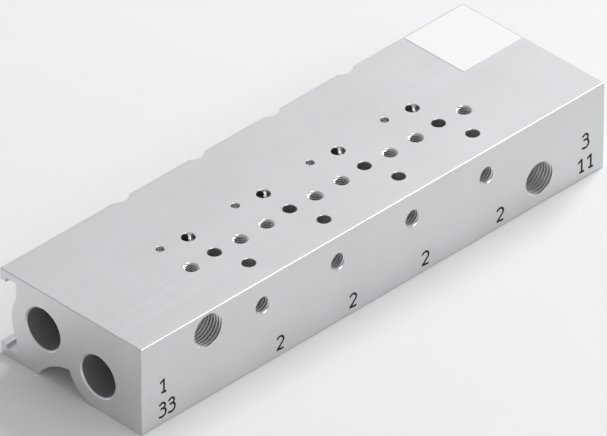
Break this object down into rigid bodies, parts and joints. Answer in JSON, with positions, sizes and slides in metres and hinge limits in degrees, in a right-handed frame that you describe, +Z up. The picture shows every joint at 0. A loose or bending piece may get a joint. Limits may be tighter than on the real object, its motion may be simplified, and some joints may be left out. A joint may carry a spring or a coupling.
{
  "type": "pneumatic valve manifold block",
  "caption": "Aluminium manifold block for a row of small 3/2-way valves: two through galleries, tapped ports in front, valve seats on top, clip channel behind.",
  "frame": {"origin": "middle of the base, at the bottom centre of the bounding box", "axes": "+X along the block to the right as seen from the port face, +Y from the port face back to the clip channel, +Z up out of the valve seats"},
  "size_m": [0.155, 0.0474, 0.0245],
  "materials": {
    "aluminium": "satin anodised extrusion with machined holes",
    "label_foil": "matt white foil",
    "number_ink": "matt black marking"
  },
  "bodies": {
    "root": {"manifold_block": "aluminium"}
  },
  "joints": []
}
